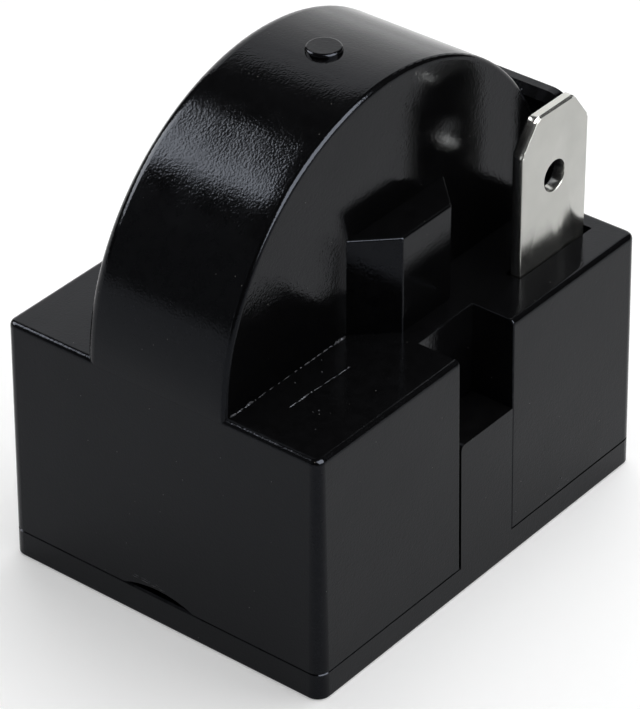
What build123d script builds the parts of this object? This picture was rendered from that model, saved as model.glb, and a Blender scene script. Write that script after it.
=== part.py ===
from build123d import *
import os
from math import cos, radians, sin, tan

os.makedirs("parts", exist_ok=True)

# Plug-on PTC start relay for a small refrigeration compressor, in millimetres.
# Origin at the centre of the underside, +Z up, X along the long side.
# The keyway, the key and the blade face -Y. The dome's axis runs along Y.

# Moulded case. Length, depth and corner radius are those at the shelf; the walls flare down to the foot.
length = 29.5
depth = 22.5
base_height = 16.1
wall_draft = 0.8
corner_radius = 0.6
shelf_edge_radius = 0.35
wall = 1.5
front_shelf = 6.5
dome_thickness = 10.2
dome_back_draft = 2.2
front_rim_radius = 0.3
back_rim_radius = 0.8
hollow_depth = 7.0
foot_radius = 0.1
embed = 0.5

# Key on the dome's front face, and the keyway below it
key_x = 0.3
key_back_width = 8.85
key_front_width = 4.4
key_depth = 2.25
key_height = 6.2
key_edge_radius = 0.15
slot_width = 5.0
slot_depth = 2.9
slot_wall = 1.2
slot_edge_radius = 0.1

# Guard wall beside the blade
guard_thickness = 1.1
guard_height = 7.5
guard_reach = 1.9
guard_length = 6.4
guard_nose_radius = 1.6
guard_bevel = 0.5

# Gate nub on top of the dome
nub_radius = 1.08
nub_height = 0.28
nub_edge_radius = 0.18

# Pry notch in the left face, at the seam
notch_y = 0.3
notch_length = 5.1
notch_height = 0.5
notch_depth = 0.8

# Base plate
plate_thickness = 1.8
seam_bevel = 0.12
plug_clearance = 0.1
rim_thickness = 1.0
rim_height = 2.5
tongue_top = 10.2
tongue_clearance = 0.08
tongue_open_gap = 0.15
tongue_tight_gap = 0.01
tongue_corner_radius = 0.35
tongue_skin = 0.9
catch_y = 0.6
catch_width = 8.4
catch_height = 1.2
catch_overlap = 0.45
catch_clearance = 0.15

# PTC pill and the parts that locate it
pill_radius = 9.75
pill_thickness = 2.5
pill_chamfer = 0.15
pill_clearance = 0.1
cradle_x = 4.8
cradle_width = 3.2
cheek = 0.9
cheek_overlap = 0.5
rib_thickness = 1.2
rib_count = 3
rib_start_angle = 25.0

# Pin sockets
pin_radius = 1.6
pin_spacing = 12.7
pin_back_margin = 1.25
pin_hole_clearance = 0.35
pin_hole_chamfer = 0.5
socket_sheet = 0.7
socket_height = 8.0
socket_wrap = 305.0
stop_clearance = 0.15
stop_length = 1.0
stop_width = 1.6
stop_height = 2.3
strap_height = 8.0
strap_bend = 1.0
post_width = 2.4
clip_sheet = 0.4
clip_wrap = 285.0
clip_start = 100.0
clip_height = 4.0
clip_lift = 2.6

# Blade terminal, a 6.3 x 0.8 quick-connect tab
blade_width = 6.3
blade_sheet = 0.8
blade_front = 2.4
blade_rise = 9.85
blade_tip_width = 3.5
blade_tip_height = 1.85
blade_tip_radius = 0.6
blade_hole_radius = 0.98
blade_hole_chamfer = 0.1
blade_hole_drop = 4.5
blade_edge_chamfer = 0.18
blade_shoulder = 0.6
blade_relief = 0.7
blade_slit_clearance = 0.12
blade_slit_overrun = 0.5

# Contact springs and rivets
spring_sheet = 0.3
spring_gap = 0.05
pad_radius = 6.8
bow_reach = 6.0
finger_slit = 0.8
finger_pitch = 4.2
arm_low = 10.0
arm_high = 13.8
foot_low = 7.0
foot_width = 1.6
spring_bend = 1.0
rivet_radius = 0.75
rivet_clearance = 0.05
rivet_head_radius = 1.2
rivet_upset_taper = 20.0
rivet_head = 0.28
rivet_upset = 0.55
rivet_z = 10.2
side_gap = 0.37
lap = 2.0

# Places that follow from those sizes
half_length = length / 2
half_depth = depth / 2
flare = base_height * tan(radians(wall_draft))
front = -half_depth
dome_front = front + front_shelf
dome_back = dome_front + dome_thickness
hollow_front = dome_front + wall
hollow_back = hollow_front + hollow_depth
hollow_mid = (hollow_front + hollow_back) / 2
roof = base_height - wall
inner_x = half_length - wall
inner_y = half_depth - wall
inner_radius = max(corner_radius - wall, embed)
slot_back = front + slot_depth
rim_top = plate_thickness + rim_height
shelf_hidden = base_height - 2 * shelf_edge_radius
dome_lean = (half_length + base_height - shelf_hidden) * tan(radians(dome_back_draft))
dome_top_middle = (dome_front + dome_back - dome_lean) / 2
blade_y = front + blade_front + blade_sheet / 2
blade_right = inner_x - side_gap
blade_left = blade_right - blade_width
blade_x = (blade_left + blade_right) / 2
blade_top = base_height + blade_rise
pill_front = hollow_mid - pill_thickness / 2
pill_back = hollow_mid + pill_thickness / 2

# Both straps turn forward behind the sockets. Each rivet is midway along the straight
# stretch that a strap shares with the foot of its spring.
pin_y = inner_y - pin_back_margin - pin_radius - socket_sheet
strap_low = rim_top
strap_high = strap_low + strap_height
strap_y = pin_y + pin_radius + socket_sheet / 2
strap_turn = strap_y - strap_bend
spring_offset = spring_gap + spring_sheet / 2
run_bow_y = hollow_front + spring_offset
start_bow_y = hollow_back - spring_offset
run_rivet_y = (run_bow_y + spring_bend + strap_turn) / 2
start_rivet_y = (start_bow_y + spring_bend + strap_turn) / 2


def side_plane(offset):
    """Upright plane at the given y, drawn with X to the right and Z up, extruding towards -Y."""
    return Plane.XZ.offset(-offset)


def dome_profile(radius, foot, offset):
    """Half-round profile of the given radius, with straight legs down to foot."""
    with BuildSketch(side_plane(offset)) as profile:
        with BuildLine():
            Polyline((-radius, base_height), (-radius, foot), (radius, foot), (radius, base_height))
            ThreePointArc((radius, base_height), (0, base_height + radius), (-radius, base_height))
        make_face()
    return profile.sketch


# Outer form of the base box, foot to shelf; the case and the base plate share it
with BuildPart() as base_form:
    with BuildSketch():
        RectangleRounded(length + 2 * flare, depth + 2 * flare, corner_radius + flare)
    extrude(amount=base_height, taper=wall_draft)

# Dome with its rims rounded, before it joins the base box
with BuildPart() as dome:
    extrude(dome_profile(half_length, shelf_hidden, dome_back), amount=dome_thickness)
    # The back face leans forward by the mould's draft, from the shelf up
    with BuildSketch(Plane.YZ):
        with BuildLine():
            dome_top = base_height + half_length
            Polyline(
                (dome_back, shelf_hidden),
                (dome_back, dome_top),
                (dome_back - dome_lean, dome_top),
                close=True,
            )
        make_face()
    extrude(amount=length, both=True, mode=Mode.SUBTRACT)
    back_rim = dome.faces().sort_by(Axis.Y)[-1].edges().filter_by(Axis.X, reverse=True)
    fillet(back_rim, back_rim_radius)
    front_rim = dome.faces().sort_by(Axis.Y)[0].edges().filter_by(Axis.X, reverse=True)
    fillet(front_rim, front_rim_radius)

with BuildPart() as housing:
    # Base box, open underneath once the cavity is cut
    add(base_form.part)
    split(bisect_by=Plane.XY.offset(plate_thickness))
    fillet(housing.faces().sort_by(Axis.Z)[-1].edges(), shelf_edge_radius)
    add(dome.part)

    # Key, a wedge with a flat top that narrows away from the dome
    with BuildSketch(Plane.XY.offset(base_height - embed)):
        with BuildLine():
            Polyline(
                (key_x - key_back_width / 2, dome_front + embed),
                (key_x - key_back_width / 2, dome_front),
                (key_x - key_front_width / 2, dome_front - key_depth),
                (key_x + key_front_width / 2, dome_front - key_depth),
                (key_x + key_back_width / 2, dome_front),
                (key_x + key_back_width / 2, dome_front + embed),
                close=True,
            )
        make_face()
    extrude(amount=key_height + embed)
    key_top = base_height + key_height
    key_rim = housing.edges().filter_by(Plane.XY).filter_by_position(Axis.Z, key_top, key_top)
    key_rim = key_rim.filter_by_position(Axis.Y, front, dome_front, (True, False))
    key_nose = dome_front - key_depth
    key_corners = housing.edges().filter_by(Axis.Z).filter_by_position(Axis.Y, key_nose, key_nose)
    fillet(key_rim + key_corners, key_edge_radius)

    # Guard wall, flush with the right-hand face
    with BuildSketch(Plane.YZ.offset(half_length - guard_thickness)):
        with BuildLine():
            guard_front = dome_front - guard_reach
            guard_top = base_height + guard_height
            FilletPolyline(
                (guard_front + guard_length, guard_top),
                (guard_front, guard_top),
                (guard_front, shelf_hidden),
                radius=guard_nose_radius,
            )
            Polyline(
                (guard_front, shelf_hidden),
                (guard_front + guard_length, shelf_hidden),
                (guard_front + guard_length, guard_top),
            )
        make_face()
    extrude(amount=guard_thickness)
    guard_brow = housing.edges().filter_by(Axis.Y).filter_by_position(Axis.Z, guard_top, guard_top)
    chamfer(guard_brow.sort_by(Axis.X)[0], guard_bevel)

    # Gate nub
    with BuildSketch(Plane.XY.offset(base_height + half_length - embed)):
        with Locations((0, dome_top_middle)):
            Circle(nub_radius)
    extrude(amount=embed + nub_height)
    fillet(housing.faces().sort_by(Axis.Z)[-1].edges(), nub_edge_radius)

    # Cavity in the base box and in the dome
    with BuildSketch(Plane.XY.offset(plate_thickness)):
        RectangleRounded(2 * inner_x, 2 * inner_y, inner_radius)
    extrude(amount=roof - plate_thickness, mode=Mode.SUBTRACT)
    hollow = dome_profile(inner_x, roof - embed, hollow_back)
    extrude(hollow, amount=hollow_depth, mode=Mode.SUBTRACT)

    # Ribs that locate the pill from above
    with BuildSketch(side_plane(hollow_back + embed)):
        with Locations((0, base_height)):
            rib_inner = pill_radius + 2 * pill_clearance
            rib_outer = inner_x + wall / 2
            sweep_angle = 180 - 2 * rib_start_angle
            rib_middle = (rib_inner + rib_outer) / 2
            with PolarLocations(rib_middle, rib_count, rib_start_angle, sweep_angle, endpoint=True):
                Rectangle(rib_outer - rib_inner, rib_thickness)
    extrude(amount=hollow_depth + 2 * embed)

    # Walls round the keyway, inside the box, then the keyway itself
    with BuildSketch(Plane.XY.offset(plate_thickness)):
        with Locations((key_x, (front + wall / 2 + slot_back + slot_wall) / 2)):
            Rectangle(slot_width + 2 * slot_wall, slot_depth + slot_wall - wall / 2)
    extrude(amount=roof + wall / 2 - plate_thickness)
    with BuildSketch(Plane.XY.offset(plate_thickness)):
        with Locations((key_x, (front - embed + slot_back) / 2)):
            Rectangle(slot_width, slot_depth + embed)
    extrude(amount=base_height, mode=Mode.SUBTRACT)
    # The keyway's mouth is rounded, down both sides in the front face and round the back on the shelf
    mouth = housing.edges().filter_by(Axis.Z, reverse=True)
    mouth = mouth.filter_by_position(Axis.X, key_x - slot_width / 2 - embed, key_x + slot_width / 2 + embed)
    mouth = mouth.filter_by_position(Axis.Y, front - flare, slot_back + embed)
    fillet(mouth.filter_by_position(Axis.Z, plate_thickness + embed, base_height), slot_edge_radius)

    # Slit that the blade comes up through
    with BuildSketch(Plane.XY.offset(roof - embed)):
        with Locations((blade_x + blade_slit_overrun / 2, blade_y)):
            Rectangle(
                blade_width + blade_slit_overrun + 2 * blade_slit_clearance,
                blade_sheet + 2 * blade_slit_clearance,
            )
    extrude(amount=wall + 2 * embed, mode=Mode.SUBTRACT)

    # Posts that hold the socket straps down
    with BuildSketch(Plane.XY.offset(strap_high)):
        post_front = strap_y - socket_sheet
        post_back = inner_y + wall / 2
        post_x = (pin_spacing / 2 + inner_x) / 2
        with Locations(*[(side * post_x, (post_front + post_back) / 2) for side in (-1, 1)]):
            Rectangle(post_width, post_back - post_front)
    extrude(amount=roof + wall / 2 - strap_high)

    # Pockets behind the side walls for the base plate's catches
    with BuildSketch(Plane.XY.offset(plate_thickness + catch_height)):
        with Locations((-inner_x, catch_y), (inner_x, catch_y)):
            Rectangle(
                2 * (catch_overlap + catch_clearance),
                catch_width + 2 * catch_clearance,
            )
    extrude(amount=catch_height + catch_clearance, mode=Mode.SUBTRACT)

    # Lens-shaped pry notch at the seam
    with BuildSketch(Plane.YZ.offset(-half_length - flare)):
        with BuildLine():
            notch_start = (notch_y - notch_length / 2, plate_thickness)
            notch_end = (notch_y + notch_length / 2, plate_thickness)
            Line(notch_start, notch_end)
            ThreePointArc(notch_end, (notch_y, plate_thickness + notch_height), notch_start)
        make_face()
    extrude(amount=notch_depth + flare, mode=Mode.SUBTRACT)
housing.part.label = "housing"
export_step(housing.part, "parts/housing.step")


# Tongue that fills the lower part of the keyway, tight on its right and flush with the case's face
with BuildPart() as tongue:
    with BuildSketch(side_plane(slot_back - tongue_clearance)):
        with BuildLine():
            tongue_left = key_x - slot_width / 2 + tongue_open_gap
            tongue_right = key_x + slot_width / 2 - tongue_tight_gap
            FilletPolyline(
                (tongue_right, tongue_top),
                (tongue_left, tongue_top),
                (tongue_left, embed),
                radius=tongue_corner_radius,
            )
            Polyline((tongue_left, embed), (tongue_right, embed), (tongue_right, tongue_top))
        make_face()
    extrude(amount=slot_depth + flare)
    add(base_form.part, mode=Mode.INTERSECT)

with BuildPart() as base_plate:
    add(base_form.part)
    split(bisect_by=Plane.XY.offset(plate_thickness), keep=Keep.BOTTOM)
    chamfer(base_plate.faces().sort_by(Axis.Z)[-1].edges(), seam_bevel)
    fillet(base_plate.faces().sort_by(Axis.Z)[0].edges(), foot_radius)

    # Rim that plugs into the case, cut away round the keyway walls
    plug_x = 2 * (inner_x - plug_clearance)
    plug_y = 2 * (inner_y - plug_clearance)
    with BuildSketch(Plane.XY.offset(plate_thickness)):
        RectangleRounded(plug_x, plug_y, inner_radius)
        Rectangle(plug_x - 2 * rim_thickness, plug_y - 2 * rim_thickness, mode=Mode.SUBTRACT)
        with Locations((key_x, (front + slot_back + slot_wall) / 2)):
            keyway_room = slot_width + 2 * (slot_wall + plug_clearance)
            Rectangle(keyway_room, slot_depth + slot_wall + 2 * plug_clearance, mode=Mode.SUBTRACT)
    extrude(amount=rim_height)

    # Catches on the rim, wedge-shaped so that they ride in and lock
    for side in (-1, 1):
        with BuildSketch(side_plane(catch_y + catch_width / 2)):
            with BuildLine():
                seat = side * (inner_x - plug_clearance)
                Polyline(
                    (seat, plate_thickness + catch_height + catch_clearance),
                    (seat + side * catch_overlap, plate_thickness + catch_height + catch_clearance),
                    (seat, plate_thickness + 2 * catch_height),
                    close=True,
                )
            make_face()
        extrude(amount=catch_width)

    # The tongue is cored from below
    add(tongue.part)
    with BuildSketch():
        with Locations((key_x, front + slot_depth / 2)):
            Rectangle(slot_width - 2 * tongue_skin, slot_depth - 2 * tongue_skin)
    extrude(amount=tongue_top - tongue_skin, mode=Mode.SUBTRACT)

    # Cradle posts with a groove for the pill's edge
    cradle_y = pill_thickness + 2 * (pill_clearance + cheek)
    with BuildSketch(side_plane(hollow_mid + cradle_y / 2)):
        with Locations(*[(side * cradle_x, (plate_thickness + roof) / 2) for side in (-1, 1)]):
            Rectangle(cradle_width, roof - plate_thickness)
        with Locations((0, base_height)):
            Circle(pill_radius - cheek_overlap, mode=Mode.SUBTRACT)
    extrude(amount=cradle_y)
    with BuildSketch(side_plane(pill_back + pill_clearance)):
        with Locations((0, base_height)):
            Circle(pill_radius + pill_clearance)
    extrude(amount=pill_thickness + 2 * pill_clearance, mode=Mode.SUBTRACT)

    # Stops round each socket, and the holes that the pins enter by
    pin_places = [(side * pin_spacing / 2, pin_y) for side in (-1, 1)]
    stop_radius = pin_radius + socket_sheet + stop_clearance + stop_length / 2
    with BuildSketch(Plane.XY.offset(plate_thickness)):
        with Locations(*pin_places):
            with PolarLocations(stop_radius, 3, 180, 180, endpoint=True):
                Rectangle(stop_length, stop_width)
    extrude(amount=stop_height)
    with BuildSketch():
        with Locations(*pin_places):
            Circle(pin_radius + pin_hole_clearance)
    extrude(amount=plate_thickness, mode=Mode.SUBTRACT)
    mouths = base_plate.faces().sort_by(Axis.Z)[0].edges().filter_by(GeomType.CIRCLE)
    chamfer(mouths.filter_by(lambda edge: edge.radius > pin_radius), pin_hole_chamfer)
base_plate.part.label = "base_plate"
export_step(base_plate.part, "parts/base_plate.step")


with BuildPart() as ptc_disc:
    with BuildSketch(side_plane(pill_back)):
        with Locations((0, base_height)):
            Circle(pill_radius)
    extrude(amount=pill_thickness)
    chamfer(ptc_disc.edges(), pill_chamfer)
ptc_disc.part.label = "ptc_disc"
export_step(ptc_disc.part, "parts/ptc_disc.step")


# The run side is on the right. Its strap is held between the blade's strap and the spring's foot.
# The start side is on the left, where the strap lies next to the wall.
blade_strap_x = blade_right - blade_sheet / 2
run_strap_x = blade_right - blade_sheet - socket_sheet / 2
start_strap_x = inner_x - side_gap - socket_sheet / 2
run_foot_x = run_strap_x - (socket_sheet + spring_sheet) / 2
start_foot_x = start_strap_x - (socket_sheet + spring_sheet) / 2
foot_limit = strap_turn - spring_gap


def polar(centre, radius, angle, side):
    """Point on a circle, with the angle turned round for the left-hand side."""
    x = centre[0] + side * radius * cos(radians(angle))
    return (x, centre[1] + radius * sin(radians(angle)))


def rivet_hole(x, y):
    """Cut that passes the rivet's shank through sheet standing at x."""
    with Locations((x, y, rivet_z)):
        Cylinder(rivet_radius + rivet_clearance, 2 * embed, rotation=(0, 90, 0), mode=Mode.SUBTRACT)


def socket(side, strap_x, strap_end, hole_y):
    """Rolled pin socket whose flag runs out to the wall and turns forward along it."""
    centre = (side * pin_spacing / 2, pin_y)
    middle_radius = pin_radius + socket_sheet / 2
    with BuildPart() as piece:
        with BuildSketch(Plane.XY.offset(plate_thickness)):
            with BuildLine() as barrel:
                ThreePointArc(
                    polar(centre, middle_radius, 90, side),
                    polar(centre, middle_radius, 90 + socket_wrap / 2, side),
                    polar(centre, middle_radius, 90 + socket_wrap, side),
                )
            trace(barrel.line, line_width=socket_sheet)
        extrude(amount=socket_height)
        with BuildSketch(Plane.XY.offset(strap_low)):
            with BuildLine() as flag:
                FilletPolyline(
                    (centre[0], strap_y),
                    (side * strap_x, strap_y),
                    (side * strap_x, strap_end),
                    radius=strap_bend,
                )
            trace(flag.line, line_width=socket_sheet)
        extrude(amount=strap_height)
        rivet_hole(side * strap_x, hole_y)
    return piece


run_socket = socket(1, run_strap_x, run_rivet_y - lap, run_rivet_y)
run_socket.part.label = "run_socket"
export_step(run_socket.part, "parts/run_socket.step")

start_socket = socket(-1, start_strap_x, start_rivet_y - lap, start_rivet_y)
start_socket.part.label = "start_socket"
export_step(start_socket.part, "parts/start_socket.step")


def socket_clip(side):
    """Open steel ring that squeezes the rolled socket."""
    centre = (side * pin_spacing / 2, pin_y)
    middle_radius = pin_radius + socket_sheet + clip_sheet / 2
    with BuildPart() as piece:
        with BuildSketch(Plane.XY.offset(plate_thickness + clip_lift)):
            with BuildLine() as ring:
                ThreePointArc(
                    polar(centre, middle_radius, clip_start, side),
                    polar(centre, middle_radius, clip_start + clip_wrap / 2, side),
                    polar(centre, middle_radius, clip_start + clip_wrap, side),
                )
            trace(ring.line, line_width=clip_sheet)
        extrude(amount=clip_height)
    return piece


run_socket_clip = socket_clip(1)
run_socket_clip.part.label = "run_socket_clip"
export_step(run_socket_clip.part, "parts/run_socket_clip.step")

start_socket_clip = socket_clip(-1)
start_socket_clip.part.label = "start_socket_clip"
export_step(start_socket_clip.part, "parts/start_socket_clip.step")


with BuildPart() as spade_terminal:
    # Strap from the foot of the blade back along the wall
    body_left = blade_left - blade_shoulder
    bend_left = blade_right - blade_sheet - strap_bend
    with BuildSketch(Plane.XY.offset(strap_low)):
        with BuildLine() as strap:
            FilletPolyline(
                (body_left, blade_y),
                (blade_strap_x, blade_y),
                (blade_strap_x, run_rivet_y + lap),
                radius=strap_bend,
            )
        trace(strap.line, line_width=blade_sheet)
    extrude(amount=strap_height)

    # Upright sheet: a shouldered body under the shelf, and the blade through it
    with BuildSketch(side_plane(blade_y + blade_sheet / 2)):
        with Locations(((body_left + bend_left) / 2, (strap_low + roof) / 2)):
            Rectangle(bend_left - body_left, roof - strap_low)
        with BuildLine():
            tip_step = (blade_width - blade_tip_width) / 2
            blade_foot = strap_high + blade_relief
            FilletPolyline(
                (blade_left, blade_foot),
                (blade_left, blade_top - blade_tip_height),
                (blade_left + tip_step, blade_top),
                (blade_right - tip_step, blade_top),
                (blade_right, blade_top - blade_tip_height),
                (blade_right, blade_foot),
                radius=blade_tip_radius,
            )
            Line((blade_right, blade_foot), (blade_left, blade_foot))
        make_face()
        with Locations((blade_x, blade_top - blade_hole_drop)):
            Circle(blade_hole_radius, mode=Mode.SUBTRACT)
    extrude(amount=blade_sheet)
    hole_top = blade_top - blade_hole_drop + blade_hole_radius
    hole_rims = spade_terminal.edges().filter_by(GeomType.CIRCLE)
    chamfer(hole_rims.filter_by_position(Axis.Z, base_height, hole_top), blade_hole_chamfer)

    # The chamfer runs on down both sides of the blade from the rounded tip
    rim = spade_terminal.edges().filter_by(Axis.Y, reverse=True)
    chamfer(rim.filter_by_position(Axis.Z, blade_top - blade_edge_chamfer, blade_top), blade_edge_chamfer)
    rivet_hole(blade_strap_x, run_rivet_y)
spade_terminal.part.label = "spade_terminal"
export_step(spade_terminal.part, "parts/spade_terminal.step")


def contact_spring(side, rest, touch, foot_x, hole_y):
    """Slit leaf bowed from the dome's wall to the pill, with an arm out to its riveted foot."""
    with BuildPart() as piece:
        with BuildSketch(Plane.XY.offset(foot_low)):
            with BuildLine() as bow:
                ThreePointArc((-side * bow_reach, rest), (0, touch), (side * bow_reach, rest))
            trace(bow.line, line_width=spring_sheet)
            with BuildLine() as arm:
                FilletPolyline(
                    (side * bow_reach, rest),
                    (side * foot_x, rest),
                    (side * foot_x, min(hole_y + lap, foot_limit)),
                    radius=spring_bend,
                )
            trace(arm.line, line_width=spring_sheet)
        extrude(amount=base_height + pad_radius - foot_low)

        # Outline seen from the front: round pad, arm and foot, with slits between the fingers
        with BuildSketch(side_plane(half_depth)):
            with Locations((0, base_height)):
                Circle(pad_radius)
            arm_end = foot_x + spring_sheet
            with Locations((side * arm_end / 2, (arm_low + arm_high) / 2)):
                Rectangle(arm_end, arm_high - arm_low)
            with Locations((side * (arm_end - foot_width / 2), (foot_low + arm_high) / 2)):
                Rectangle(foot_width, arm_high - foot_low)
            with Locations(*[(-side * embed, base_height + step * finger_pitch / 2) for step in (-1, 1)]):
                SlotOverall(2 * bow_reach - embed, finger_slit, mode=Mode.SUBTRACT)
        extrude(amount=depth, mode=Mode.INTERSECT)
        rivet_hole(side * foot_x, hole_y)
    return piece


run_spring = contact_spring(1, run_bow_y, pill_front - spring_offset, run_foot_x, run_rivet_y)
run_spring.part.label = "run_spring"
export_step(run_spring.part, "parts/run_spring.step")

start_spring = contact_spring(-1, start_bow_y, pill_back + spring_offset, start_foot_x, start_rivet_y)
start_spring.part.label = "start_spring"
export_step(start_spring.part, "parts/start_spring.step")


def rivet(side, near, far, y):
    """Rivet along X with a flat head next to the wall and an upset head inside."""
    with BuildPart() as piece:
        with BuildSketch(Plane.YZ.offset(side * near)):
            with Locations((y, rivet_z)):
                Circle(rivet_radius)
        extrude(amount=side * (far - near))
        with BuildSketch(Plane.YZ.offset(side * far)):
            with Locations((y, rivet_z)):
                Circle(rivet_head_radius)
        extrude(amount=side * rivet_head)
        with BuildSketch(Plane.YZ.offset(side * near)):
            with Locations((y, rivet_z)):
                Circle(rivet_head_radius)
        extrude(amount=-side * rivet_upset, taper=rivet_upset_taper)
    return piece


run_rivet = rivet(1, run_foot_x - spring_sheet / 2, blade_right, run_rivet_y)
run_rivet.part.label = "run_rivet"
export_step(run_rivet.part, "parts/run_rivet.step")

start_rivet = rivet(-1, start_foot_x - spring_sheet / 2, inner_x - side_gap, start_rivet_y)
start_rivet.part.label = "start_rivet"
export_step(start_rivet.part, "parts/start_rivet.step")
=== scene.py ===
import random
from math import cos, pi, radians, sin, tan

import bmesh
import bpy
from mathutils import Matrix, Vector


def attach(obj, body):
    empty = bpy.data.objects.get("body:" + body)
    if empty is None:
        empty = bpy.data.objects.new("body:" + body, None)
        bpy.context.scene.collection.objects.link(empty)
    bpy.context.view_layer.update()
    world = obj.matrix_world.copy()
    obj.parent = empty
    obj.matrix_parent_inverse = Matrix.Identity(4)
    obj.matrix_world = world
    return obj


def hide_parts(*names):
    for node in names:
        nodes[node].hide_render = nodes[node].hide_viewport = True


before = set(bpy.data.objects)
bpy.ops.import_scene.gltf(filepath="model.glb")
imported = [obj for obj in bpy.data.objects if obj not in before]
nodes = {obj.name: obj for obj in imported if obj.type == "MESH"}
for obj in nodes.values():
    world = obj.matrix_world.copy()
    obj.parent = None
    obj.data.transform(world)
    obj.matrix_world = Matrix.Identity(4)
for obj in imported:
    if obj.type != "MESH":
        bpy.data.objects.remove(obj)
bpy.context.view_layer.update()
scene = bpy.context.scene

MM = 0.001
UP = (0, 0, 1)
FORWARD = (0, -1, 0)
LEFT = (-1, 0, 0)
WHITE = (1, 1, 1, 1)

# Sockets of a Mix node that mixes colours
MIX_FACTOR = 0
MIX_FIRST = 6
MIX_SECOND = 7
MIX_RESULT = 2

# Camera, at the photograph's viewing angle; angles in degrees
EYE = (-150.0 * MM, -120.721 * MM, 140.784 * MM)
VIEW_AZIMUTH = -51.06
VIEW_ELEVATION = 34.054
VIEW_ROLL = -0.382
LENS = 204.02
SENSOR = 36.0

# Studio, in metres
FLOOR_SIZE = 5.0
FLOOR_LEVEL = -0.02 * MM
FLOOR_COLOUR = (0.8, 0.8, 0.8)
FLOOR_SHADE = 0.99
FLOOR_ROUGHNESS = 0.9
FLOOR_LIFT = 0.27
DARK_ROOM = (0.03, 0.03, 0.032)
SOFTBOX_DISTANCE = 0.9
FILL_DISTANCE = 1.8
BACKDROP_DISTANCE = 0.9
BACKDROP_AZIMUTHS = (96, 158)
BACKDROP_HEIGHTS = (-0.2, 0.97)
BACKDROP_STEPS = 24
BACKDROP_COLOUR = (0.8, 0.8, 0.8, 1)
BACKDROP_GLOW = 0.88

# Floor paper: size of its faint patches, in millimetres
FLOOR_PATCH_SIZE = 40.0

# Black plastic; sizes in millimetres
CLOUD_SIZE = 0.7
SHEEN_SIZE = 1.6
FINE_GRAIN_SIZE = 0.13
ORANGE_PEEL_SIZE = 0.35
ORANGE_PEEL_SHARE = 0.5
WAVE_SIZE = 5.0
WAVE_HEIGHT = 0.03
DUST_PITCH = 1.0
DUST_RADIUS = 0.035
DUST_COLOUR = (0.16, 0.16, 0.15)
SPECK_CORE = 0.6
SPECULAR_LEVEL = 0.125
# Bluish tint of the plastic's reflections: a painted cast that stands in for the cool colour of the
# reflected light
SPECULAR_TINT = (0.78, 0.85, 1.0, 1)

# Where the dome's outer surface rolls towards its rims: distances from the dome's middle
# along Y, and heights above the floor between which the roll fades in, in millimetres
DOME_MIDDLE = 0.15
ROLL_START = 3.75
ROLL_END = 4.6
ROLL_LOW = 16.2
ROLL_HIGH = 17.5
ROLL_POWER = 2.0
ROLL_DEPTH = 0.016

# Sheet metal and ceramic; sizes in millimetres
METAL_SHEEN_SIZE = 0.5
METAL_GRAIN_SIZE = 0.3
CERAMIC_CLOUD_SIZE = 0.8
CERAMIC_SHEEN_SIZE = 0.3
CERAMIC_GRAIN_SIZE = 0.12
CERAMIC_GRAIN_HEIGHT = 0.01

# Blade. An edge that steps back from the front face by a height in BEVEL_STEPS belongs to a
# bevel, and the hole's bevel is the one below HOLE_STEP. A shift is the share of the bevel's
# width by which its inner edge moves outwards. Angles are in degrees.
BLADE_FACE = -8.85 * MM
FACE_TOLERANCE = 0.01 * MM
BEVEL_STEPS = (0.05 * MM, 0.3 * MM)
HOLE_STEP = 0.13 * MM
COIN_SHIFT = 0.45
HOLE_SHIFT = 0.75
MERGE_DISTANCE = 0.001 * MM
FLAT_ANGLE = 1
EDGE_ROLL = 0.05 * MM
EDGE_ROLL_SEGMENTS = 3
EDGE_ROLL_ANGLE = 25

# Flash. The shelf's height, the pitch, the sink and the lengths are in millimetres, and the
# rest are factors on a bead's, run's or crumb's own size. A pair is a random draw's range.
SHELF = 16.1
BEAD_PITCH = 0.09
BEAD_FEWEST_STEPS = 3
BEAD_SINK = 0.02
BEAD_END = 0.15
BEAD_WOBBLE = (-0.25, 0.25)
BEAD_HALF_WIDTH = (0.35, 0.6)
BEAD_HEIGHT = (0.5, 1.3)
RUN_LENGTH = (0.25, 0.9)
RUN_HEIGHT = (0.6, 1.0)
RUN_LEAST_FACTOR = 0.4
SHORTEST_RUN = 0.12
GAP_LENGTH = (0.1, 0.7)
CRUMB_LIFT = 0.4
CRUMB_SIZE = (0.65, 1.15)


def direction(azimuth, elevation):
    """Unit vector towards a place seen from the object; azimuth 0 is -Y and negative is -X."""
    a, e = radians(azimuth), radians(elevation)
    return Vector((sin(a) * cos(e), -cos(a) * cos(e), sin(e)))


def add_object(name, data):
    added = bpy.data.objects.new(name, data)
    scene.collection.objects.link(added)
    return added


def make_camera():
    data = bpy.data.cameras.new("camera")
    data.sensor_width = SENSOR
    data.lens = LENS
    camera = add_object("camera", data)
    look = -direction(VIEW_AZIMUTH, VIEW_ELEVATION)
    roll = Matrix.Rotation(radians(VIEW_ROLL), 3, "Z")
    turn = look.to_track_quat("-Z", "Y").to_matrix() @ roll
    camera.matrix_world = Matrix.Translation(EYE) @ turn.to_4x4()
    scene.camera = camera


def add_lamp(name, place, away, size, radiance, in_reflections):
    """Rectangular lamp that shines opposite to away; a radiance of 1 looks white.

    A lamp shows either in reflections only, or as plain light only.
    """
    data = bpy.data.lights.new(name, "AREA")
    data.shape = "RECTANGLE"
    data.size, data.size_y = size
    data.energy = radiance * pi * size[0] * size[1]
    lamp = add_object(name, data)
    lamp.location = place
    lamp.rotation_mode = "QUATERNION"
    lamp.rotation_quaternion = away.to_track_quat("Z", "Y")
    lamp.visible_glossy = in_reflections
    lamp.visible_diffuse = not in_reflections
    lamp.visible_camera = False


def facing_lamp(name, azimuth, elevation, distance, size, radiance, in_reflections):
    """Lamp at a distance from the object, facing it."""
    away = direction(azimuth, elevation)
    add_lamp(name, away * distance, away, size, radiance, in_reflections)


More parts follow.
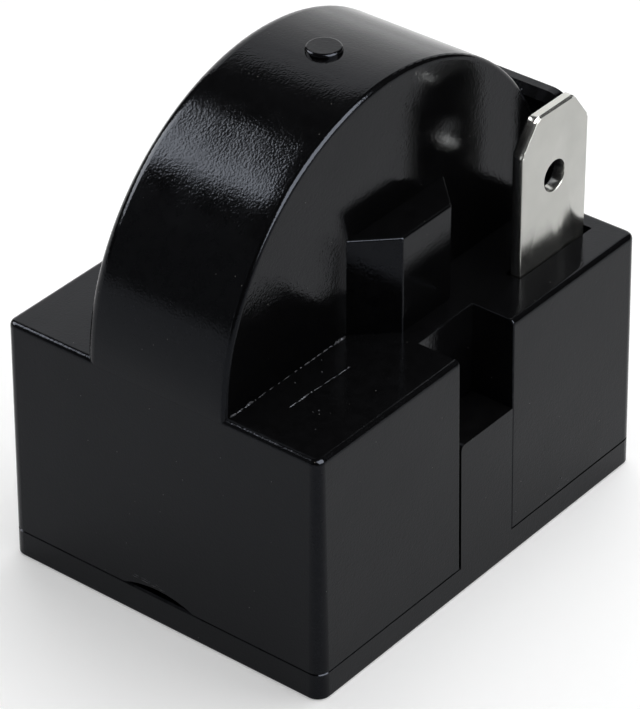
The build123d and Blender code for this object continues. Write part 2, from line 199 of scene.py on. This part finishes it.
def back_softbox(azimuths, elevations, radiance):
    """Upright lamp behind the object, facing -Y, that shows in reflections.

    It fills the range of azimuths, and the range of elevations as seen straight behind the
    object.
    """
    x0, x1 = [-SOFTBOX_DISTANCE * tan(radians(180 + a)) for a in azimuths]
    z0, z1 = [SOFTBOX_DISTANCE * tan(radians(e)) for e in elevations]
    place = Vector(((x0 + x1) / 2, SOFTBOX_DISTANCE, (z0 + z1) / 2))
    size = (abs(x1 - x0), z1 - z0)
    add_lamp("back_softbox", place, Vector((0, 1, 0)), size, radiance, in_reflections=True)


class Nodes:
    """A material's node tree, with short calls to add and join nodes."""

    def __init__(self, name):
        self.material = bpy.data.materials.new(name)
        self.material.use_nodes = True
        self.tree = self.material.node_tree
        self.shader = self.tree.nodes["Principled BSDF"]

    def add(self, kind, **values):
        """New node; each value is that of an input, or else a property of the node."""
        node = self.tree.nodes.new(kind)
        for key, value in values.items():
            if key in node.inputs:
                node.inputs[key].default_value = value
            else:
                setattr(node, key, value)
        return node

    def join(self, source, target):
        self.tree.links.new(source, target)

    def set(self, name, value):
        """Gives one of the shader's inputs a value."""
        self.shader.inputs[name].default_value = value

    def feed(self, name, source):
        """Joins the output of another node to one of the shader's inputs."""
        self.join(source, self.shader.inputs[name])

    def place(self):
        return self.add("ShaderNodeTexCoord").outputs["Object"]

    def noise(self, size, detail=3.0, roughness=0.5):
        """Noise whose features are about size millimetres."""
        scale = 1 / (size * MM)
        node = self.add("ShaderNodeTexNoise", Scale=scale, Detail=detail, Roughness=roughness)
        self.join(self.place(), node.inputs["Vector"])
        return node.outputs["Fac"]

    def spread(self, value, low, high, start=0.3, end=0.7):
        """The value from start to end, stretched to run from low to high."""
        node = self.add("ShaderNodeMapRange")
        self.join(value, node.inputs["Value"])
        node.inputs["From Min"].default_value = start
        node.inputs["From Max"].default_value = end
        node.inputs["To Min"].default_value = low
        node.inputs["To Max"].default_value = high
        return node.outputs["Result"]

    def tint(self, value, first, second):
        """Mix of two colours, each a triple or the output of another node."""
        node = self.add("ShaderNodeMix", data_type="RGBA")
        self.join(value, node.inputs[MIX_FACTOR])
        for colour, socket in ((first, MIX_FIRST), (second, MIX_SECOND)):
            if isinstance(colour, tuple):
                node.inputs[socket].default_value = (*colour, 1)
            else:
                self.join(colour, node.inputs[socket])
        return node.outputs[MIX_RESULT]

    def specks(self, pitch, radius):
        """Sparse round specks, up to the given radius, where scattered points lie near the surface.

        The points are about pitch apart. Both are in millimetres.
        """
        node = self.add("ShaderNodeTexVoronoi", Scale=1 / (pitch * MM))
        self.join(self.place(), node.inputs["Vector"])
        core, edge = SPECK_CORE * radius / pitch, radius / pitch
        return self.spread(node.outputs["Distance"], 1, 0, core, edge)

    def math(self, operation, *values):
        """One math node; each value is a number or the output of another node."""
        node = self.add("ShaderNodeMath", operation=operation)
        for value, target in zip(values, node.inputs):
            if isinstance(value, (int, float)):
                target.default_value = value
            else:
                self.join(value, target)
        return node.outputs[0]

    def split(self):
        node = self.add("ShaderNodeSeparateXYZ")
        self.join(self.place(), node.inputs[0])
        return node.outputs

    def rim_roll(self):
        """How far the dome's outer surface falls away towards its front and back rims, 0 to 1."""
        place = self.split()
        out = self.math("ABSOLUTE", self.math("SUBTRACT", place["Y"], DOME_MIDDLE * MM))
        near_rim = self.spread(out, 0, 1, ROLL_START * MM, ROLL_END * MM)
        on_dome = self.spread(place["Z"], 0, 1, ROLL_LOW * MM, ROLL_HIGH * MM)
        return self.math("MULTIPLY", self.math("POWER", near_rim, ROLL_POWER), on_dome)

    def bump(self, height, distance, below=None):
        """Normals for a height of 0 to 1 times distance, in millimetres, on top of those below."""
        node = self.add("ShaderNodeBump", Strength=1.0, Distance=distance * MM)
        self.join(height, node.inputs["Height"])
        if below is not None:
            self.join(below, node.inputs["Normal"])
        return node.outputs["Normal"]


def moulded_plastic(name, dark, light, gloss, grain):
    """Black moulding with a cloudy gloss, dust, and the fine orange peel of its mould."""
    m = Nodes(name)
    cloud = m.tint(m.spread(m.noise(CLOUD_SIZE, detail=6.0, roughness=0.65), 0, 1), dark, light)
    m.feed("Base Color", m.tint(m.specks(DUST_PITCH, DUST_RADIUS), cloud, DUST_COLOUR))
    m.feed("Roughness", m.spread(m.noise(SHEEN_SIZE, detail=5.0), *gloss))
    fine = m.bump(m.noise(FINE_GRAIN_SIZE, detail=1.0), grain)
    peel = m.bump(m.noise(ORANGE_PEEL_SIZE, detail=2.0), ORANGE_PEEL_SHARE * grain, below=fine)
    wave = m.bump(m.noise(WAVE_SIZE, detail=1.0), WAVE_HEIGHT, below=peel)
    m.feed("Normal", m.bump(m.rim_roll(), -ROLL_DEPTH, below=wave))
    m.set("Specular IOR Level", SPECULAR_LEVEL)
    # Reflections tinted bluish: painted colour of the reflected light
    m.set("Specular Tint", SPECULAR_TINT)
    return m.material


def sheet_metal(name, dark, light, gloss, grain, cloud):
    """Plated sheet with a cloudy sheen and fine rolling marks."""
    m = Nodes(name)
    m.feed("Base Color", m.tint(m.spread(m.noise(cloud, detail=6.0), 0, 1), dark, light))
    m.feed("Roughness", m.spread(m.noise(METAL_SHEEN_SIZE, detail=2.0), *gloss))
    m.feed("Normal", m.bump(m.noise(METAL_GRAIN_SIZE, detail=2.0), grain))
    m.set("Metallic", 1.0)
    return m.material


def ceramic(name, dark, light, gloss):
    """Mottled, dull ceramic."""
    m = Nodes(name)
    m.feed("Base Color", m.tint(m.spread(m.noise(CERAMIC_CLOUD_SIZE), 0, 1), dark, light))
    m.feed("Roughness", m.spread(m.noise(CERAMIC_SHEEN_SIZE), *gloss))
    m.feed("Normal", m.bump(m.noise(CERAMIC_GRAIN_SIZE), CERAMIC_GRAIN_HEIGHT))
    return m.material


def paint(material, *names):
    """Gives CAD nodes one material in place of their own."""
    for name in names:
        nodes[name].data.materials.clear()
        nodes[name].data.materials.append(material)


def coined_blade():
    """The blade terminal with its bevels coined steeper and every edge rolled.

    Its mesh is a copy of the CAD node's, with the node's material.
    """
    mesh = nodes["spade_terminal"].data.copy()
    blade = add_object("coined_blade", mesh)
    bm = bmesh.new()
    bm.from_mesh(mesh)
    bmesh.ops.remove_doubles(bm, verts=bm.verts, dist=MERGE_DISTANCE)
    bmesh.ops.dissolve_limit(
        bm, angle_limit=radians(FLAT_ANGLE), verts=bm.verts, edges=bm.edges
    )
    lowest, highest = BEVEL_STEPS
    for edge in bm.edges:
        inner, outer = sorted(edge.verts, key=lambda v: v.co.y)
        step = outer.co.y - inner.co.y
        if abs(inner.co.y - BLADE_FACE) < FACE_TOLERANCE and lowest < step < highest:
            across = outer.co - inner.co
            shift = HOLE_SHIFT if step < HOLE_STEP else COIN_SHIFT
            inner.co += Vector((across.x, 0, across.z)) * shift
    bm.to_mesh(mesh)
    bm.free()
    roll = blade.modifiers.new("rolled_edges", "BEVEL")
    roll.width = EDGE_ROLL
    roll.segments = EDGE_ROLL_SEGMENTS
    roll.limit_method = "ANGLE"
    roll.angle_limit = radians(EDGE_ROLL_ANGLE)
    roll.harden_normals = True
    mesh.shade_smooth()
    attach(blade, "root")
    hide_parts("spade_terminal")


def bead(bm, start, end, up, width, height, rng):
    """One ragged bead of flash, three-sided, sunk a little into the surface under it."""
    along = end - start
    side = along.normalized().cross(up)
    steps = max(BEAD_FEWEST_STEPS, round(along.length / (BEAD_PITCH * MM)))
    rings = []
    for k in range(steps + 1):
        taper = max(BEAD_END, sin(pi * k / steps) ** 0.5)
        middle = start + along * (k / steps) + side * width * rng.uniform(*BEAD_WOBBLE)
        half = side * width * taper * rng.uniform(*BEAD_HALF_WIDTH)
        top = middle + up * height * taper * rng.uniform(*BEAD_HEIGHT)
        foot = middle - up * BEAD_SINK * MM
        rings.append([bm.verts.new(p) for p in (foot - half, top, foot + half)])
    for a, b in zip(rings, rings[1:]):
        for k in range(3):
            bm.faces.new((a[k], a[(k + 1) % 3], b[(k + 1) % 3], b[k]))
    bm.faces.new(rings[0][::-1])
    bm.faces.new(rings[-1])


def crumb(bm, place, up, size, rng):
    """One irregular grain of plastic sitting on a surface."""
    made = bmesh.ops.create_icosphere(bm, subdivisions=2, radius=size)["verts"]
    for vert in made:
        vert.co = place + up * CRUMB_LIFT * size + vert.co * rng.uniform(*CRUMB_SIZE)


def flash_piece(name, beads, crumbs, material, seed):
    """One piece of flash, in millimetres.

    A bead is (from, to, up, width, height, share): a row of runs that fill about that share
    of its length. A crumb is (at, up, size).
    """
    rng = random.Random(seed)
    bm = bmesh.new()
    for start, end, up, width, height, share in beads:
        start, end = Vector(start) * MM, Vector(end) * MM
        length = (end - start).length
        at = 0.0
        while at < length:
            run = rng.uniform(*RUN_LENGTH) * MM * (RUN_LEAST_FACTOR + share)
            stop = min(at + run, length)
            if stop - at > SHORTEST_RUN * MM:
                a, b = start.lerp(end, at / length), start.lerp(end, stop / length)
                run_height = height * rng.uniform(*RUN_HEIGHT) * MM
                bead(bm, a, b, Vector(up), width * MM, run_height, rng)
            at = stop + rng.uniform(*GAP_LENGTH) * MM * (1 - share)
    for place, up, size in crumbs:
        crumb(bm, Vector(place) * MM, Vector(up), size * MM, rng)
    bmesh.ops.recalc_face_normals(bm, faces=bm.faces)
    mesh = bpy.data.meshes.new(name)
    bm.to_mesh(mesh)
    bm.free()
    piece = add_object(name, mesh)
    mesh.materials.append(material)
    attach(piece, "root")


def make_floor():
    """Pale floor, lifted towards white for camera, glossy and transmission rays alike."""
    mesh = bpy.data.meshes.new("floor")
    h = FLOOR_SIZE / 2
    corners = [(x, y, FLOOR_LEVEL) for x, y in ((-h, -h), (h, -h), (h, h), (-h, h))]
    mesh.from_pydata(corners, [], [(0, 1, 2, 3)])
    floor = add_object("floor", mesh)
    m = Nodes("floor_paper")
    m.set("Roughness", FLOOR_ROUGHNESS)
    m.set("Specular IOR Level", 0.0)
    shade = tuple(FLOOR_SHADE * c for c in FLOOR_COLOUR)
    m.feed("Base Color", m.tint(m.noise(FLOOR_PATCH_SIZE), shade, FLOOR_COLOUR))
    rays = m.add("ShaderNodeLightPath").outputs
    seen = m.math("MAXIMUM", rays["Is Camera Ray"], rays["Is Transmission Ray"])
    seen = m.math("MAXIMUM", seen, rays["Is Glossy Ray"])
    m.feed("Emission Strength", m.math("MULTIPLY", seen, FLOOR_LIFT))
    m.set("Emission Color", WHITE)
    floor.data.materials.append(m.material)


def make_backdrop():
    """Curved white card behind the object, seen in its reflections."""
    first, last = BACKDROP_AZIMUTHS
    low, high = BACKDROP_HEIGHTS
    verts, faces = [], []
    for k in range(BACKDROP_STEPS + 1):
        azimuth = first + (last - first) * k / BACKDROP_STEPS
        away = direction(azimuth, 0) * BACKDROP_DISTANCE
        verts += [(away.x, away.y, low), (away.x, away.y, high)]
    for k in range(BACKDROP_STEPS):
        faces.append((2 * k, 2 * k + 2, 2 * k + 3, 2 * k + 1))
    mesh = bpy.data.meshes.new("backdrop")
    mesh.from_pydata(verts, [], faces)
    card = add_object("backdrop", mesh)
    m = Nodes("backdrop_paper")
    m.set("Base Color", BACKDROP_COLOUR)
    m.set("Emission Color", WHITE)
    m.set("Emission Strength", BACKDROP_GLOW)
    card.data.materials.append(m.material)


def make_world():
    world = bpy.data.worlds.new("room")
    scene.world = world
    world.use_nodes = True
    background = world.node_tree.nodes["Background"]
    background.inputs["Color"].default_value = (*DARK_ROOM, 1)
    background.inputs["Strength"].default_value = 1.0


make_camera()
make_world()
make_floor()
make_backdrop()
back_softbox(azimuths=(-142.4, -178.0), elevations=(20.0, 55.3), radiance=15.0)
facing_lamp(
    "front_softbox", azimuth=2, elevation=44, distance=SOFTBOX_DISTANCE,
    size=(0.9, 1.0), radiance=18.0, in_reflections=True,
)
facing_lamp(
    "left_glow", azimuth=-116, elevation=18, distance=SOFTBOX_DISTANCE,
    size=(0.65, 0.6), radiance=0.18, in_reflections=True,
)
facing_lamp(
    "overhead_fill", azimuth=70, elevation=75, distance=FILL_DISTANCE,
    size=(2.4, 2.4), radiance=2.4, in_reflections=False,
)

black = moulded_plastic(
    "case_black", dark=(0.0026, 0.0026, 0.0028), light=(0.0046, 0.0046, 0.005),
    gloss=(0.08, 0.14), grain=0.007,
)
plate_black = moulded_plastic(
    "plate_black", dark=(0.0026, 0.0026, 0.0028), light=(0.0048, 0.0048, 0.005),
    gloss=(0.12, 0.2), grain=0.007,
)
torn = moulded_plastic(
    "torn_plastic", dark=(0.04, 0.04, 0.042), light=(0.12, 0.12, 0.125),
    gloss=(0.2, 0.4), grain=0.01,
)
tin = sheet_metal(
    "tinned_sheet", dark=(0.42, 0.42, 0.40), light=(0.46, 0.46, 0.435),
    gloss=(0.19, 0.23), grain=0.0003, cloud=1.5,
)
brass = sheet_metal(
    "brass_sheet", dark=(0.62, 0.42, 0.16), light=(0.78, 0.56, 0.25),
    gloss=(0.2, 0.35), grain=0.002, cloud=2.0,
)
spring = sheet_metal(
    "spring_steel", dark=(0.45, 0.45, 0.46), light=(0.6, 0.6, 0.6),
    gloss=(0.2, 0.32), grain=0.001, cloud=2.0,
)
rivet = sheet_metal(
    "rivet_steel", dark=(0.5, 0.5, 0.5), light=(0.66, 0.66, 0.65),
    gloss=(0.25, 0.4), grain=0.002, cloud=0.8,
)
pill = ceramic(
    "ptc_ceramic", dark=(0.10, 0.09, 0.085), light=(0.2, 0.18, 0.165), gloss=(0.5, 0.75),
)
paint(black, "housing")
paint(plate_black, "base_plate")
paint(tin, "spade_terminal")
paint(brass, "run_socket", "start_socket")
paint(spring, "run_spring", "start_spring", "run_socket_clip", "start_socket_clip")
paint(rivet, "run_rivet", "start_rivet")
paint(pill, "ptc_disc")
coined_blade()

# Four rows along the foot of the dome's front face, and two further forward on the shelf
flash_piece("dome_foot_flash", [
    ((-14.3, -4.78, SHELF), (-12.1, -4.78, SHELF), UP, 0.13, 0.11, 0.9),
    ((-11.9, -4.77, SHELF), (-8.1, -4.77, SHELF), UP, 0.07, 0.05, 0.4),
    ((-7.9, -4.77, SHELF), (-5.4, -4.77, SHELF), UP, 0.09, 0.07, 0.75),
    ((-5.3, -4.79, SHELF), (-4.2, -4.79, SHELF), UP, 0.17, 0.15, 0.95),
    ((-11.6, -6.7, SHELF), (-9.6, -6.72, SHELF), UP, 0.13, 0.05, 0.85),
    ((-9.5, -6.73, SHELF), (-6.4, -6.85, SHELF), UP, 0.11, 0.035, 0.6),
], [
    ((-7.8, -5.94, SHELF), UP, 0.05),
    ((-9.54, -5.45, SHELF), UP, 0.045),
    ((-10.82, -8.16, SHELF), UP, 0.05),
    ((-11.1, -7.96, SHELF), UP, 0.035),
    ((-6.9, -5.2, SHELF), UP, 0.03),
    ((-12.3, -9.1, SHELF), UP, 0.03),
], torn, seed=3)

# On the front face, a little above the seam
flash_piece("seam_flash", [
    ((5.5, -11.44, 2.0), (8.7, -11.44, 2.05), FORWARD, 0.07, 0.02, 0.4),
    ((7.2, -11.44, 2.2), (8.6, -11.44, 2.3), FORWARD, 0.05, 0.015, 0.3),
], [
    ((6.1, -11.445, 2.35), FORWARD, 0.03),
    ((7.7, -11.445, 2.6), FORWARD, 0.035),
], torn, seed=5)

# On the left face, over the pry notch
flash_piece("notch_tear", [
    ((-14.94, -0.2, 2.46), (-14.94, 2.5, 2.5), LEFT, 0.12, 0.02, 0.8),
    ((-14.94, 0.2, 2.62), (-14.94, 2.1, 2.64), LEFT, 0.08, 0.015, 0.5),
], [
    ((-14.94, 4.26, 1.95), LEFT, 0.045),
], torn, seed=7)

scene.view_settings.view_transform = "Standard"
